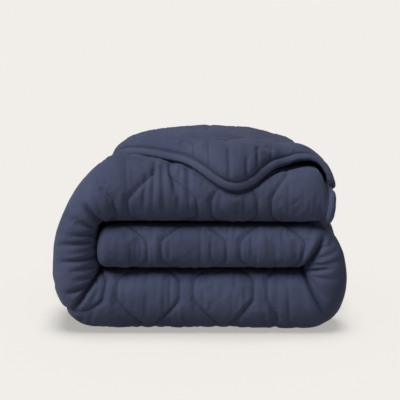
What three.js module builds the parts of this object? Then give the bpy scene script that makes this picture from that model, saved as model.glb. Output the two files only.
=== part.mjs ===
import * as THREE from 'three';

// A quilted duvet: folded in thirds along its length, then turned over on itself into three
// layers. Millimetres, +Z up; the front folds face -Y and the stack rests on z = 0.

// Plies and edges
const FRONT_Y = -230;       // where the front folds begin
const DEPTH = 460;          // front folds to the back fold
const PLY_GAP = 3;          // air between neighbouring plies
const COVER_LOFT = 44;      // filled thickness of the outer ply on the top layer
const EDGE_WALL = 12;       // thickness left at a bound edge
const EDGE_TAPER = 60;      // width over which the filling thins towards a bound edge
const END_TAPER = 55;       // the same at the outer end of the strip
const TUCK_TAPER = 26;      // and at the end tucked inside
const END_SHARE = 0.25;     // how far across the ply the outer end's edge sits from the front face
const END_BOW = { by: 8, about: 0.45 };    // the outer end is bowed, about this share of its height
const INNER_SHORT = 24;     // the inner ply stops this far short of the back fold
const BACK_ROUND = 46;      // depth of the back fold
const FRONT_ROUND = { ratio: 0.52, least: 40, most: 66 };  // depth of a front fold for its height
const SLOT_DEPTH = 0.88;    // the slot between two plies ends at this share of the front fold
const CROWN = { from: 110, to: 350 };   // where the top falls away towards the back
const NEST = { from: 100, to: 22, least: 110 };  // ramp ahead of the edge of an outer ply that sinks in
const LIFT_REACH = 130;     // how far back from its edge the flap is lifted
const FLAP_REACH = 340;     // nominal width of the outer ply, which its rows are counted on

// Binding round the whole edge
const BINDING = { width: 13, thick: 15, clear: 0.5, sides: 6, corner: 3 };

// Quilting: mirrored lines, close together at a channel and apart round a six-sided cell
const FRONT_QUILT = { half: 15, straight: 19, slope: 74, centre: 0.42, arc: 190 };
const FLAP_QUILT = { half: 16, straight: 40, slope: 85, centre: 55 };
const PUFF = { low: -4, high: 10, width: 60, edge: 45, round: 2.2, fade: 0.7 };

// One row for each place along the strip. Inner and outer lines of the layer (x, z), how far the
// outer ply is sunk in, its loft, how much the back falls, where its edge lies, and its lift.
const FIELDS = ['ix', 'iz', 'ox', 'oz', 'nest', 'loft', 'drop', 'edge', 'lift'];
const STATIONS = [
  // middle layer, from the tucked end
  [-208, 136, -207, 240, 1, 1, 0, 130, 0],
  [-90, 136, -90, 240, 1, 1, 0, 130, 0],
  [60, 136, 60, 240, 1, 1, 0, 130, 0],
  [190, 136, 192, 240, 1, 1, 0, 130, 0],
  // right bend
  [228, 136, 266, 231, 1, 1, 0, 130, 0],
  [233, 135, 307, 191, 1, 1, 0, 130, 0],
  [234, 133.5, 325, 117, 1, 1, 0, 130, 0],
  [233, 132, 309, 41, 1, 1, 0, 130, 0],
  [228, 131, 264, 6, 1, 1, 0, 130, 0],
  // bottom layer
  [190, 131.5, 195, 0, 1, 1, 0, 130, 0],
  [60, 131.5, 60, 0, 1, 1, 0, 130, 0],
  [-70, 131.5, -70, 0, 1, 1, 0, 130, 0],
  [-180, 131.5, -192, 0, 1, 1, 0, 130, 0],
  // left bend
  [-218, 131.5, -262, 14, 1, 1, 0, 150, 0],
  [-223, 139, -306, 68, 1, 1, 0, 190, 0],
  [-224, 185, -317, 158, 1, 1, 0.05, 220, 0],
  [-223, 234, -297, 253, 1, 1, 0.15, 235, 0],
  [-214, 243, -246, 341, 0.75, 0.8, 0.2, 205, 0],
  // top layer: the flap falls, hangs over the front, lifts at its crest and turns the corner
  [-178, 244, -191, 383, 0.3, 0.65, 0.22, 150, 0],
  [-140, 244, -146, 385, 0.1, 0.6, 0.24, 104, 0],
  [-85, 244, -87, 379, 0, 0.75, 0.17, 46, 1],
  [-25, 244, -25, 374, 0, 0.95, 0.14, -8, 3],
  [35, 244, 35, 370, 0, 1, 0.12, -52, 3],
  [75, 244, 75, 366, 0, 1, 0.12, -62, 3],
  [115, 244, 115, 363, 0, 1, 0.13, -48, 4],
  [155, 244, 155, 360, 0, 0.9, 0.15, -12, 8],
  [190, 244, 190, 358, 0, 0.85, 0.17, 20, 13],
  [220, 244, 220, 361, 0, 0.8, 0.2, 30, 15],
  [247, 245, 247, 362, 0, 0.7, 0.23, 27, 9],
  [268, 246, 268, 350, 0, 0.6, 0.25, 17, 8],
  [284, 247, 284, 338, 0, 0.5, 0.26, 6, 8],
];

// Where the narrow channels cross, along the strip
const FRONT_CHANNELS = [109, 282, 452, 580, 708, 871, 1042, 1215, 1387, 1570, 1701];
const FLAP_CHANNELS = [1324, 1562, 1800];
const FLAP_START = 1330;    // the flap's stitching is raised from here on
const FRONT_STEPS = Array(2 * FRONT_CHANNELS.length + 1).fill(4);   // columns from line to line
const FLAP_STEPS = [66, 7, 5, 6, 4, 4];
const COLUMNS = 92;         // columns in all, on either face

// Rows across each ply, as shares of the stretch named (mm back from the free edge for the flap)
const ROWS = {
  under: [0, 0.07, 0.3],
  ease: 0.7,
  front: [0, 0.12, 0.22, 0.32, 0.42, 0.52, 0.65, 0.78, 0.91, 1],
  over: [0.25, 0.5, 0.75, 1],
  slot: [-0.5, -0.25, 0, 0.25, 0.5],
  inside: [0.12, 0.3, 0.5, 0.75, 1],
  back: [0.16, 0.33, 0.5, 0.67, 0.84, 1],
  flap: [330, 250, 190, 140, 100, 70, 45, 26, 12, 4, 0],
};

const { sqrt, sin, cos, min, max, PI } = Math;
const clamp = THREE.MathUtils.clamp;
const smooth = (x, a, b) => THREE.MathUtils.smoothstep(x, a, b);
const quarter = (u) => sqrt(1 - (1 - clamp(u, 0, 1)) ** 2);   // quarter round, 0 to 1
const D_FOLD = DEPTH - BACK_ROUND;
const D_INNER = DEPTH - INNER_SHORT;

// Smooth curve through one column of the table
function through(k, t) {
  const i = min(Math.floor(t), STATIONS.length - 2);
  const f = t - i;
  const at = (j) => STATIONS[clamp(j, 0, STATIONS.length - 1)][k];
  const [p0, p1, p2, p3] = [at(i - 1), at(i), at(i + 1), at(i + 2)];
  const [m1, m2] = [(p2 - p0) / 2, (p3 - p1) / 2];
  return (2 * p1 - 2 * p2 + m1 + m2) * f ** 3 + (3 * p2 - 3 * p1 - 2 * m1 - m2) * f ** 2 + m1 * f + p1;
}

function stationAt(t) {
  return Object.fromEntries(FIELDS.map((name, k) => [name, through(k, t)]));
}

// Length along the middle of the strip, so that s is in millimetres
const STEPS = 40;
const lengths = [0];
for (let i = 1, last = stationAt(0); i <= STEPS * (STATIONS.length - 1); i++) {
  const q = stationAt(i / STEPS);
  lengths.push(lengths[i - 1]
    + Math.hypot(q.ix + q.ox - last.ix - last.ox, q.iz + q.oz - last.iz - last.oz) / 2);
  last = q;
}
const LENGTH = lengths[lengths.length - 1];

function section(s) {
  let i = 1;
  while (i < lengths.length - 1 && lengths[i] < s) i++;
  const q = stationAt((i - 1 + (s - lengths[i - 1]) / (lengths[i] - lengths[i - 1])) / STEPS);
  const high = Math.hypot(q.ox - q.ix, q.oz - q.iz);
  const nest = clamp(q.nest, 0, 1);
  return {
    ...q, s, high, nest,
    lift: max(q.lift, 0),
    drop: clamp(q.drop, 0, 1),
    round: clamp(FRONT_ROUND.ratio * high, FRONT_ROUND.least, FRONT_ROUND.most),
    cover: (COVER_LOFT * (1 - nest) + nest * (high / 3 - PLY_GAP)) * q.loft,
  };
}

// Heights in a section: d is behind the front, n is from the layer's inner line
function sunk(S, d) {
  const edge = S.round + S.edge;
  return S.nest * smooth(d, edge - NEST.from, edge - NEST.to);
}
const coreTop = (S, d) => S.high * (1 - S.drop * smooth(d, CROWN.from, CROWN.to))
  - (S.cover + PLY_GAP) * sunk(S, d);
const slotFloor = (S) => S.high * (1 / 2 - S.nest / 6) - PLY_GAP / 2;

// Point and outward direction on the core, l behind its front shoulder
function support(S, l) {
  if (l > 0) return { d: S.round + l, n: coreTop(S, S.round + l), od: 0, on: 1 };
  const a = PI / 2 + l / sqrt((S.round ** 2 + (S.high / 2) ** 2) / 2);
  const [od, on] = [-cos(a) / S.round, sin(a) / (S.high / 2)];
  const q = Math.hypot(od, on);
  return { d: S.round * (1 - cos(a)), n: S.high / 2 * (1 + sin(a)), od: od / q, on: on / q };
}

// Each of these gives a pair of points across the ply: [outer face, inner face]
const across = {
  under(S, f) {               // inner ply, from its back edge forward
    const d = THREE.MathUtils.lerp(D_INNER, S.round, f);
    const mid = slotFloor(S) / 2;
    const half = EDGE_WALL / 2 + (mid - EDGE_WALL / 2) * quarter((D_INNER - d) / EDGE_TAPER);
    return [{ d, n: mid - half }, { d, n: mid + half }];
  },
  front(S, f, relief) {       // round the front fold
    const a = (f - 0.5) * PI;
    const [od, on] = [-cos(a) / S.round, sin(a) / (S.high / 2)];
    const k = relief * cos(a) ** PUFF.fade / Math.hypot(od, on);
    const d = S.round * (1 - cos(a));
    return [{ d: d + od * k, n: S.high / 2 * (1 + sin(a)) + on * k },
      { d: max(d, SLOT_DEPTH * S.round), n: slotFloor(S) + PLY_GAP / 2 * (1 + sin(a)) }];
  },
  over(S, f) {                // middle ply, from the front shoulder back
    const from = S.round + max(S.edge, NEST.least) - NEST.to;
    const d = f < 0 ? S.round + (from - S.round) * (1 + f) : from + (D_FOLD - from) * f;
    return [{ d, n: coreTop(S, d) }, { d, n: slotFloor(S) + PLY_GAP }];
  },
  inside(S, f) {              // the same ply seen from the slot
    const d = THREE.MathUtils.lerp(SLOT_DEPTH * S.round, D_FOLD, f);
    return [{ d, n: coreTop(S, d) }, { d, n: slotFloor(S) + PLY_GAP }];
  },
  back(S, f) {                // round the back fold
    const a = (f - 0.5) * PI;
    const low = slotFloor(S) + PLY_GAP;
    const top = coreTop(S, D_FOLD) + PLY_GAP + S.cover;
    return [{ d: D_FOLD, n: coreTop(S, D_FOLD) + PLY_GAP / 2 },
      { d: D_FOLD + BACK_ROUND * cos(a), n: (low + top) / 2 + (top - low) / 2 * sin(a) }];
  },
  flap(S, back, relief) {     // outer ply, the distance back from its free edge given
    const l = S.edge + back * min(1, (D_FOLD - S.round - S.edge) / FLAP_REACH);
    const p = support(S, l);
    const thick = EDGE_WALL + (S.cover - EDGE_WALL) * quarter((l - S.edge) / EDGE_TAPER);
    const lift = PLY_GAP + S.lift * (1 - smooth(l - S.edge, 0, LIFT_REACH));
    return [lift, lift + thick + relief].map((h) => ({ d: p.d + p.od * h, n: p.n + p.on * h }));
  },
};

// Thins a ply towards both ends of the strip, then sets it in space
function settle(S, pair, face) {
  const [own, other] = face === 1 ? pair : [pair[1], pair[0]];
  const keep = max(0, 1 - EDGE_WALL / max(Math.hypot(other.d - own.d, other.n - own.n), 1e-6));
  const share = face === 1 ? END_SHARE : 1 - END_SHARE;
  const out = 1 - quarter((LENGTH - S.s) / END_TAPER);
  const tuck = 1 - quarter(S.s / TUCK_TAPER);
  const w = keep * (out * share + tuck / 2);
  return { d: own.d + (other.d - own.d) * w, n: own.n + (other.n - own.n) * w };
}

function place(S, { d, n }) {
  const k = n / S.high;
  const whole = S.high + (1 - S.nest) * (S.cover + PLY_GAP);
  const near = clamp(1 - (LENGTH - S.s) / END_TAPER, 0, 1);
  const bow = END_BOW.by * near ** 2 * (2 * (n / whole - END_BOW.about)) ** 2;
  return new THREE.Vector3(
    THREE.MathUtils.lerp(S.ix, S.ox, k) - bow,
    FRONT_Y + d,
    max(0, THREE.MathUtils.lerp(S.iz, S.oz, k)));
}

// Stitch lines at distance v along the pattern, with both ends of the strip
function stitchLines(channels, quilt, v) {
  const period = 2 * (quilt.straight * 2 + quilt.slope);
  const u = Math.abs(((v + period / 2) % period + period) % period - period / 2);
  const apart = clamp((u - quilt.straight) / quilt.slope, 0, 1);
  const lines = [0];
  channels.forEach((c, i) => {
    const before = i ? channels[i - 1] : 2 * c - channels[1];
    const after = i < channels.length - 1 ? channels[i + 1] : 2 * c - before;
    lines.push(THREE.MathUtils.lerp(c - quilt.half, (c + before) / 2 + quilt.half, apart));
    lines.push(THREE.MathUtils.lerp(c + quilt.half, (c + after) / 2 - quilt.half, apart));
  });
  if (quilt === FLAP_QUILT) lines.splice(1, 2, FLAP_START);
  return [...lines.map((x) => min(x, LENGTH - PUFF.edge)), LENGTH];
}

// Position and puff of every column on one row
function columns(lines, steps) {
  const out = [];
  steps.forEach((count, k) => {
    const wide = lines[k + 1] - lines[k];
    for (let i = 0; i < count + (k === steps.length - 1 ? 1 : 0); i++) {
      const q = i / count;
      const s = lines[k] + wide * q;
      const high = PUFF.high * (1 - Math.exp(-wide / PUFF.width)) * (1 - Math.abs(2 * q - 1) ** PUFF.round);
      const near = clamp(min(s, LENGTH - s) / PUFF.edge, 0, 1);
      out.push({ s, puff: (PUFF.low + high) * near });
    }
  });
  return out;
}
const evenColumns = columns([0, LENGTH], [COLUMNS]).map(({ s }) => ({ s, puff: 0 }));
const frontColumns = (f) => columns(
  stitchLines(FRONT_CHANNELS, FRONT_QUILT, (f - FRONT_QUILT.centre) * FRONT_QUILT.arc), FRONT_STEPS);
const flapColumns = (v) => columns(
  stitchLines(FLAP_CHANNELS, FLAP_QUILT, v - FLAP_QUILT.centre), FLAP_STEPS);
const between = (a, b) => a.map(({ s }, i) => ({ s: (s + b[i].s) / 2, puff: 0 }));

// All rows of one face, as [stretch, share, columns]
function faceRows(face) {
  const rows = ROWS.under.map((f) => ['under', f, evenColumns]);
  if (face === 1) {
    rows.push(['under', ROWS.ease, between(evenColumns, frontColumns(0))]);
    for (const f of ROWS.front) rows.push(['front', f, frontColumns(f)]);
    rows.push(['over', -0.5, between(frontColumns(1), flapColumns(0))]);
    for (const f of [0, ...ROWS.over]) rows.push(['over', f, flapColumns(0)]);
    for (const b of [FLAP_REACH, ...ROWS.flap]) rows.push(['flap', b, flapColumns(0)]);
  } else {
    for (const a of ROWS.slot) rows.push(['front', 0.5 + a, evenColumns]);
    for (const f of ROWS.inside) rows.push(['inside', f, evenColumns]);
    for (const f of ROWS.back) rows.push(['back', f, flapColumns(FLAP_REACH)]);
    for (const b of ROWS.flap) rows.push(['flap', b, flapColumns(b)]);
  }
  return rows;
}

function facePoints(face) {
  return faceRows(face).map(([stretch, share, cols]) => cols.map(({ s, puff }) => {
    const S = section(s);
    let relief = puff;
    if (stretch === 'flap') relief *= (1 - S.nest) * smooth(share, 0, PUFF.edge);
    if (stretch === 'back') relief = 0;
    return place(S, settle(S, across[stretch](S, share, relief), face));
  }));
}

function solid(points, triangles) {
  const g = new THREE.BufferGeometry();
  g.setAttribute('position', new THREE.Float32BufferAttribute(points.flatMap((p) => p.toArray()), 3));
  g.setIndex(triangles);
  g.computeVertexNormals();
  return g;
}

// The filled body: its two faces, a wall along each bound edge and a cap at each end
function duvetBody() {
  const faces = [facePoints(1), facePoints(2)];
  const points = faces.flat(2);
  const wide = COLUMNS + 1;
  const base = [0, faces[0].length * wide];
  const id = (f, row, i) => base[f] + row * wide + i;
  const tri = [];
  const quad = (a, b, c, d) => tri.push(a, b, c, a, c, d);
  faces.forEach((rows, f) => {
    for (let r = 0; r < rows.length - 1; r++) {
      for (let i = 0; i < COLUMNS; i++) {
        const q = [id(f, r, i), id(f, r, i + 1), id(f, r + 1, i + 1), id(f, r + 1, i)];
        if (f === 0) quad(...q); else quad(q[3], q[2], q[1], q[0]);
      }
    }
  });
  const [n1, n2] = faces.map((rows) => rows.length - 1);
  for (let i = 0; i < COLUMNS; i++) {
    quad(id(0, 0, i + 1), id(0, 0, i), id(1, 0, i), id(1, 0, i + 1));
    quad(id(0, n1, i), id(0, n1, i + 1), id(1, n2, i + 1), id(1, n2, i));
  }
  for (const i of [0, COLUMNS]) {
    let [a, b] = [0, 0];
    const apart = (r1, r2) => faces[0][r1][i].distanceTo(faces[1][r2][i]);
    while (a < n1 || b < n2) {
      const first = b === n2 || (a < n1 && apart(a + 1, b) < apart(a, b + 1));
      const t = [id(0, a, i), first ? id(0, a + 1, i) : id(1, b + 1, i), id(1, b, i)];
      tri.push(...(i === 0 ? t : t.reverse()));
      if (first) a++; else b++;
    }
  }
  return solid(points, tri);
}

// The binding: a bead that follows the bound edge right round
function bindingBead() {
  const walls = (s, stretch, share) => {
    const S = section(s);
    const pair = across[stretch](S, share, 0);
    return [1, 2].map((face) => place(S, settle(S, pair, face)));
  };
  const endRows = [...ROWS.under.map((f) => ['under', f]), ...ROWS.front.map((f) => ['front', f]),
    ...[-0.5, 0, ...ROWS.over].map((f) => ['over', f]), ...ROWS.back.map((f) => ['back', f]),
    ...ROWS.flap.map((b) => ['flap', b])];
  const sides = [
    flapColumns(0).map(({ s }) => walls(s, 'flap', 0)),
    [...endRows].reverse().map(([stretch, f]) => walls(LENGTH, stretch, f)),
    [...evenColumns].reverse().map(({ s }) => walls(s, 'under', 0)),
    endRows.map(([stretch, f]) => walls(0, stretch, f)),
  ];
  const rings = [];
  const beads = sides.map((side) => side.map(([a, b], k) => {
    const [before, after] = [side[max(k - 1, 0)], side[min(k + 1, side.length - 1)]];
    const mid = a.clone().add(b).multiplyScalar(0.5);
    const along = after[0].clone().add(after[1]).sub(before[0]).sub(before[1]).normalize();
    const up = b.clone().sub(a).normalize();
    const out = new THREE.Vector3().crossVectors(along, up).normalize();
    return { mid, up, out };
  }));
  const ring = ({ mid, up, out }) => {
    const centre = mid.clone().addScaledVector(out, BINDING.clear + BINDING.width / 2);
    for (let k = 0; k < BINDING.sides; k++) {
      const a = (k + 0.5) / BINDING.sides * 2 * PI;
      rings.push(centre.clone().addScaledVector(out, BINDING.width / 2 * cos(a))
        .addScaledVector(up, BINDING.thick / 2 * sin(a)));
    }
  };
  beads.forEach((side, n) => {
    side.forEach(ring);
    const [from, to] = [side[side.length - 1], beads[(n + 1) % beads.length][0]];
    for (let k = 1; k < BINDING.corner; k++) {
      const blend = (key) => from[key].clone().lerp(to[key], k / BINDING.corner).normalize();
      ring({ mid: from.mid, up: blend('up'), out: blend('out') });
    }
  });
  const n = BINDING.sides;
  const tri = [];
  const count = rings.length / n;
  for (let r = 0; r < count; r++) {
    for (let k = 0; k < n; k++) {
      const [a, b] = [r * n + k, r * n + (k + 1) % n];
      const [c, d] = [((r + 1) % count) * n + (k + 1) % n, ((r + 1) % count) * n + k];
      tri.push(a, c, b, a, d, c);
    }
  }
  return solid(rings, tri);
}

const navy = (name, hex) => new THREE.MeshStandardMaterial({ name, color: hex, roughness: 0.9 });

const duvet = new THREE.Group();
duvet.name = 'duvet';
for (const [name, shape, hex] of [
  ['quilted_body', duvetBody(), 0x3f4560],
  ['bound_edge', bindingBead(), 0x454b66],
]) {
  const mesh = new THREE.Mesh(shape, navy(name, hex));
  mesh.name = name;
  duvet.add(mesh);
}

// The origin is under the middle of the folded stack
const middle = new THREE.Box3().setFromObject(duvet).getCenter(new THREE.Vector3());
duvet.position.set(-middle.x, -middle.y, 0);

export default duvet;
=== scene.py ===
# %% [markdown]
# # A folded quilted duvet
# The real thing is one long quilted pad. Its two long sides are folded in, so that it is three
# plies deep, and the strip that makes is turned over on itself into three layers, with the free
# edge of the outer ply lying in a wave across the top. The packed part holds that form with few
# faces. This lesson rebuilds its skin finely, sews it, lets it swell, and dresses it.

# %% Load the packed part
import math

import bpy
import numpy as np
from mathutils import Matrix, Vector, geometry


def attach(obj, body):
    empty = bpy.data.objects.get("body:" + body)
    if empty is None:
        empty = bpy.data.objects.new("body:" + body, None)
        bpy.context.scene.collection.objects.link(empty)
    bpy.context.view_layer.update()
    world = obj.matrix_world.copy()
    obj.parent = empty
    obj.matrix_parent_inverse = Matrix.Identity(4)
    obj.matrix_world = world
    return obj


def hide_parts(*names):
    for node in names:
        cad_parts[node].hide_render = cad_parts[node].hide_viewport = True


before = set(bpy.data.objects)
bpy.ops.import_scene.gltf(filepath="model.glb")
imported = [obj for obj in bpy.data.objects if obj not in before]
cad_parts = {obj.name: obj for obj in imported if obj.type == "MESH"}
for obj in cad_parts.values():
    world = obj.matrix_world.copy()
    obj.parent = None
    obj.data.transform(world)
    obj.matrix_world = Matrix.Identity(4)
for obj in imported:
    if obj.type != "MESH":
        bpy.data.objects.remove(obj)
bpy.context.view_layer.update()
bpy.ops.object.select_all(action="DESELECT")

# %% [markdown]
# ## The camera
# The picture looks at the front folds from a little above, through a long lens, so the layers
# hardly narrow towards the back. The camera is made first: everything after is judged through it.

# %% Camera
MM = 0.001
VIEW_TARGET = Vector((-0.0018, -0.2253, 0.303))  # on the stack's front, in mid-picture
VIEW_DISTANCE = 2.9
VIEW_ELEVATION = math.radians(12)
SENSOR = 36.0
VIEW_WIDTH = 0.8672  # what the frame takes in at the target, in metres

away = Vector((0, -math.cos(VIEW_ELEVATION), math.sin(VIEW_ELEVATION)))
bpy.ops.object.camera_add(location=VIEW_TARGET + away * VIEW_DISTANCE,
                          rotation=(math.pi / 2 - VIEW_ELEVATION, 0, 0))
camera = bpy.context.object
camera.data.sensor_width = SENSOR
camera.data.lens = SENSOR * VIEW_DISTANCE / VIEW_WIDTH
bpy.context.scene.camera = camera
print("lens (mm):", round(camera.data.lens, 1))

# %% [markdown]
# ## The way the duvet is folded
# A sheet of cloth is easiest to draw flat. So each point of the skin is given two flat measures,
# s along the strip and v across it, and one function folds them into space. The table has a row
# for each place along the strip: the inner and outer line of the layer there, and what the outer
# ply does. It is the part's own table, in millimetres, with the creases and the flap's right end
# drawn closer to the picture, so most of the skin lies within a few millimetres of the solid.

# %% Table of the fold
FIELDS = ("ix", "iz", "ox", "oz", "nest", "loft", "drop", "edge", "lift")
STATIONS = np.array([
    # middle layer, from the tucked end
    (-208, 142, -207, 237, 1, 1, 0, 130, 0), (-90, 142, -90, 237, 1, 1, 0, 130, 0),
    (60, 142, 60, 237, 1, 1, 0, 130, 0), (190, 142, 192, 237, 1, 1, 0, 130, 0),
    # right bend
    (228, 142, 266, 229, 1, 1, 0, 130, 0), (233, 141, 307, 190, 1, 1, 0, 130, 0),
    (234, 139.5, 325, 117, 1, 1, 0, 130, 0), (233, 137.5, 309, 41, 1, 1, 0, 130, 0),
    (228, 136, 264, 6, 1, 1, 0, 130, 0),
    # bottom layer
    (190, 136, 195, 0, 1, 1, 0, 130, 0), (60, 136, 60, 0, 1, 1, 0, 130, 0),
    (-70, 136, -70, 0, 1, 1, 0, 130, 0), (-180, 136, -192, 0, 1, 1, 0, 130, 0),
    # left bend
    (-218, 136, -267, 11, 1, 1, 0, 150, 0), (-223, 144, -310, 64, 1, 1, 0, 190, 0),
    (-224, 187, -317, 158, 1, 1, 0.05, 220, 0), (-223, 234, -297, 253, 1, 1, 0.15, 235, 0),
    (-214, 243, -246, 331, 1, 0.5, 0.36, 232, 0),
    # top layer, with the flap across it
    (-178, 244, -191, 383, 0.3, 0.65, 0.33, 154, 0), (-140, 244, -146, 385, 0.1, 0.72, 0.24, 92, 0),
    (-85, 244, -87, 379, 0, 0.8, 0.17, 40, 2), (-25, 244, -25, 374, 0, 0.95, 0.14, -10, 4),
    (35, 244, 35, 370, 0, 1, 0.12, -55, 4), (75, 244, 75, 366, 0, 1, 0.12, -66, 4),
    (115, 244, 115, 363, 0, 1, 0.11, -51, 5), (155, 244, 155, 360, 0, 0.88, 0.1, -13, 8),
    (190, 244, 190, 358, 0, 0.76, 0.11, 20, 12), (220, 244, 220, 360, 0, 0.61, 0.125, 32, 16),
    (247, 245, 247, 361, 0, 0.38, 0.165, 33, 16), (268, 246, 268, 353, 0, 0.32, 0.28, 24, 9),
    (284, 247, 284, 326, 0, 0.32, 0.28, 10, 2),
], float)
STEPS = 40  # samples from row to row


def smoothstep(x, a, b):
    u = np.clip((x - a) / (b - a), 0, 1)
    return u * u * (3 - 2 * u)


def stations_at(t):
    """A smooth curve through the table's rows."""
    i = np.clip(np.floor(t).astype(int), 0, len(STATIONS) - 2)
    f = (t - i)[:, None]
    p0, p1, p2, p3 = (STATIONS[np.clip(i + k, 0, len(STATIONS) - 1)] for k in (-1, 0, 1, 2))
    m1, m2 = (p2 - p0) / 2, (p3 - p1) / 2
    return (2 * p1 - 2 * p2 + m1 + m2) * f**3 + (3 * p2 - 3 * p1 - 2 * m1 - m2) * f**2 + m1 * f + p1


def run_along(points):
    """Distance along a line, at each of its points."""
    return np.concatenate([[0], np.cumsum(np.linalg.norm(np.diff(points, axis=0), axis=1))])


ROW_AT = np.arange(STEPS * (len(STATIONS) - 1) + 1) / STEPS
rows = stations_at(ROW_AT)
RUN = run_along((rows[:, 0:2] + rows[:, 2:4]) / 2)
LENGTH = RUN[-1]
print("strip length (mm):", round(LENGTH, 1))

# %% Sections across the strip
# Across the strip, d is the distance behind the front and n the height above the inner line.
FRONT_Y, DEPTH, PLY_GAP = -230, 460, 3
COVER_LOFT = 44  # thickness of the outer ply
ROUND_RATIO, ROUND_LEAST, ROUND_MOST = 0.52, 40, 66  # radius of a front fold, from its height
CROWN_FROM, CROWN_TO = 110, 350  # the top falls to the back between these
NEST_FROM, NEST_TO = 100, 22  # and sinks under a flap this far ahead of its edge
BACK_ROUND, INNER_GAP = 46, 24  # the back fold, and what the inner ply stops short
D_FOLD, D_INNER = DEPTH - BACK_ROUND, DEPTH - INNER_GAP


def section(s):
    """What the table says at places along the strip, and what follows from it."""
    S = dict(zip(FIELDS, stations_at(np.interp(s, RUN, ROW_AT)).T), s=s)
    S["high"] = np.hypot(S["ox"] - S["ix"], S["oz"] - S["iz"])
    S["nest"], S["drop"] = np.clip(S["nest"], 0, 1), np.clip(S["drop"], 0, 1)
    S["lift"] = np.maximum(S["lift"], 0)
    S["round"] = np.clip(ROUND_RATIO * S["high"], ROUND_LEAST, ROUND_MOST)
    S["cover"] = (COVER_LOFT * (1 - S["nest"]) + S["nest"] * (S["high"] / 3 - PLY_GAP)) * S["loft"]
    S["floor"] = S["high"] * (1 / 2 - S["nest"] / 6) - PLY_GAP / 2
    return S


def core_top(S, d):
    """Height of the two plies that the flap lies on."""
    edge = S["round"] + S["edge"]
    crown = 1 - S["drop"] * smoothstep(d, CROWN_FROM, CROWN_TO)
    sunk = S["nest"] * smoothstep(d, edge - NEST_FROM, edge - NEST_TO)
    return S["high"] * crown - (S["cover"] + PLY_GAP) * sunk


def quarter(u):
    """Rises from 0 to 1 like a quarter of a circle."""
    return np.sqrt(1 - (1 - np.clip(u, 0, 1))**2)


tallest = section(RUN)["high"].max()
print("tallest layer (mm):", round(float(tallest), 1))

# %% Stretches of the two faces
# Each gives the pair of points across a ply, [d, n] on face 1 and on face 2.
EDGE_WALL, EDGE_TAPER = 12, 60  # a ply thins to this at its edge, over this run
SLOT_DEPTH = 0.88  # how far out the inside of a front fold reaches
FLAP_REACH, LIFT_REACH = 340, 130  # the flap's length, and how much of it is raised


def under(S, f):
    """The inner ply, from its edge to the front fold."""
    d = D_INNER + (S["round"] - D_INNER) * f
    mid = S["floor"] / 2
    half = EDGE_WALL / 2 + (mid - EDGE_WALL / 2) * quarter((D_INNER - d) / EDGE_TAPER)
    return d, mid - half, d, mid + half


def front(S, f):
    """The front fold."""
    a = (f - 0.5) * math.pi
    d = S["round"] * (1 - np.cos(a))
    return (d, S["high"] / 2 * (1 + np.sin(a)),
            np.maximum(d, SLOT_DEPTH * S["round"]), S["floor"] + PLY_GAP / 2 * (1 + np.sin(a)))


def over(S, f):
    """The middle ply's face that lies up against the flap."""
    d = S["round"] + (D_FOLD - S["round"]) * f
    return d, core_top(S, d), d, S["floor"] + PLY_GAP


def inside(S, f):
    """The middle ply's face inside the front fold."""
    d = SLOT_DEPTH * S["round"] * (1 - f) + D_FOLD * f
    return d, core_top(S, d), d, S["floor"] + PLY_GAP


def back(S, f):
    """The back fold."""
    a = (f - 0.5) * math.pi
    low, top = S["floor"] + PLY_GAP, core_top(S, D_FOLD) + PLY_GAP + S["cover"]
    return (D_FOLD + 0 * a, core_top(S, D_FOLD) + PLY_GAP / 2,
            D_FOLD + BACK_ROUND * np.cos(a), (low + top) / 2 + (top - low) / 2 * np.sin(a))


def behind_edge(S, f):
    """How far behind the front shoulder a point of the flap lies; f is 1 at its free edge."""
    room = np.minimum(1, (D_FOLD - S["round"] - S["edge"]) / FLAP_REACH)
    return S["edge"] + FLAP_REACH * (1 - f) * room


def flap(S, f):
    """The outer ply, from the back fold to its free edge."""
    behind = behind_edge(S, f)
    a = math.pi / 2 + np.minimum(behind, 0) / np.sqrt((S["round"]**2 + (S["high"] / 2)**2) / 2)
    on_top = behind > 0
    d = np.where(on_top, S["round"] + behind, S["round"] * (1 - np.cos(a)))
    n = np.where(on_top, core_top(S, d), S["high"] / 2 * (1 + np.sin(a)))
    od = np.where(on_top, 0, -np.cos(a) / S["round"])
    on = np.where(on_top, 1, np.sin(a) / (S["high"] / 2))
    size = np.hypot(od, on)
    thick = EDGE_WALL + (S["cover"] - EDGE_WALL) * quarter((behind - S["edge"]) / EDGE_TAPER)
    lift = PLY_GAP + S["lift"] * (1 - smoothstep(behind - S["edge"], 0, LIFT_REACH))
    return (d + od / size * lift, n + on / size * lift,
            d + od / size * (lift + thick), n + on / size * (lift + thick))


FLAT = {  # where each stretch begins and ends in v
    1: ((under, -471, -95), (front, -95, 95), (over, 95, 451), (flap, 451, 791)),
    2: ((under, 0, 376), (inside, 376, 736), (back, 736, 886), (flap, 886, 1226)),
}


def limits(face, stretch):
    return next(row[1:] for row in FLAT[face] if row[0] is stretch)


def share_of(face, v, stretch):
    """How far along a stretch v is, 0 where it begins and 1 where it ends."""
    lo, hi = limits(face, stretch)
    return (v - lo) / (hi - lo)


FRONT_FROM, OVER_TO = limits(1, front)[0], limits(1, over)[1]
BACK_FROM, (FLAP_FROM, FLAP_TO) = limits(2, back)[0], limits(2, flap)
print("flat width of the faces (mm):", [run[-1][2] - run[0][1] for run in FLAT.values()])

# %% The ends of the strip
END_TAPER, TUCK_TAPER = 55, 20  # the plies close over these runs
END_SHARE, TUCK_SHARE = 0.14, 0.3  # face 1's share of that at the end, each face's at the tuck
END_BOW, BOW_ABOUT = 8, 0.45  # the end bows in above and below its middle
END_LEAN, LEAN_RUN = 17, 220  # it leans in towards the back
LEAN_FROM, LEAN_TO = 110, 420
CENTRED = np.array((-3.794, 4.707, 0))  # puts the origin under the middle of the stack


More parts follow.
